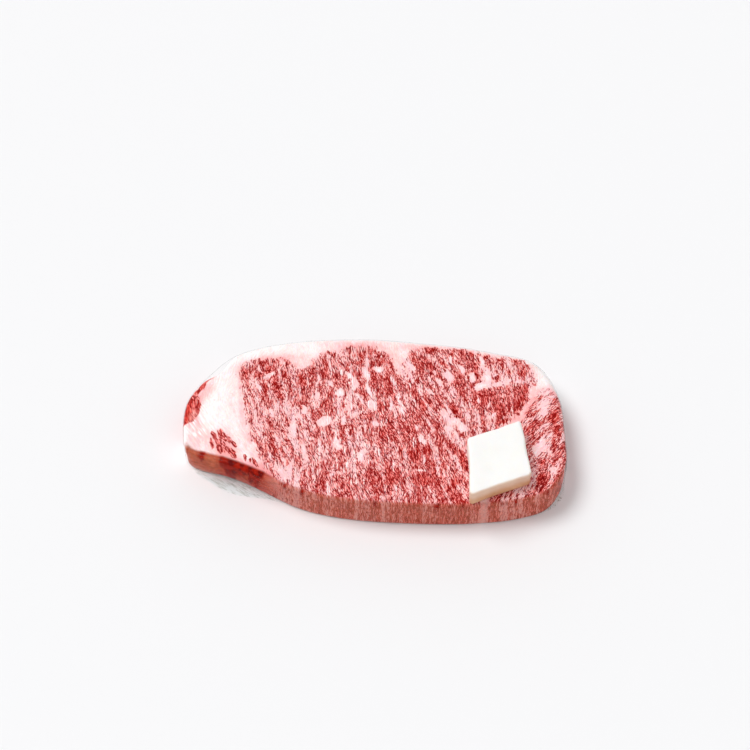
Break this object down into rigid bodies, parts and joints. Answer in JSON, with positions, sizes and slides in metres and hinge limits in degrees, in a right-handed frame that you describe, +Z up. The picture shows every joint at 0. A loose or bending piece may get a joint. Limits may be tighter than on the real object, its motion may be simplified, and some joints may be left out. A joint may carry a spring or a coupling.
{
  "type": "wagyu sirloin steak",
  "caption": "Raw marbled sirloin steak sealed in clear film, with a wedge of fat at its thin end, a cap of fat along one side and a block of beef tallow lying on it.",
  "frame": {"origin": "middle of the underside, on the surface that the steak lies on", "axes": "+X along the steak to its broad end, +Y towards the long cap of fat, +Z up"},
  "size_m": [0.2022, 0.108, 0.0308],
  "materials": {
    "meat": "moist raw beef, lean and fat in fine flecks, under clear film",
    "film": "clear glossy cling film, drawn tight, with fine creases",
    "tallow": "waxy white beef fat, satin"
  },
  "bodies": {
    "root": {"steak": "meat", "tallow_block": "tallow"}
  },
  "joints": []
}
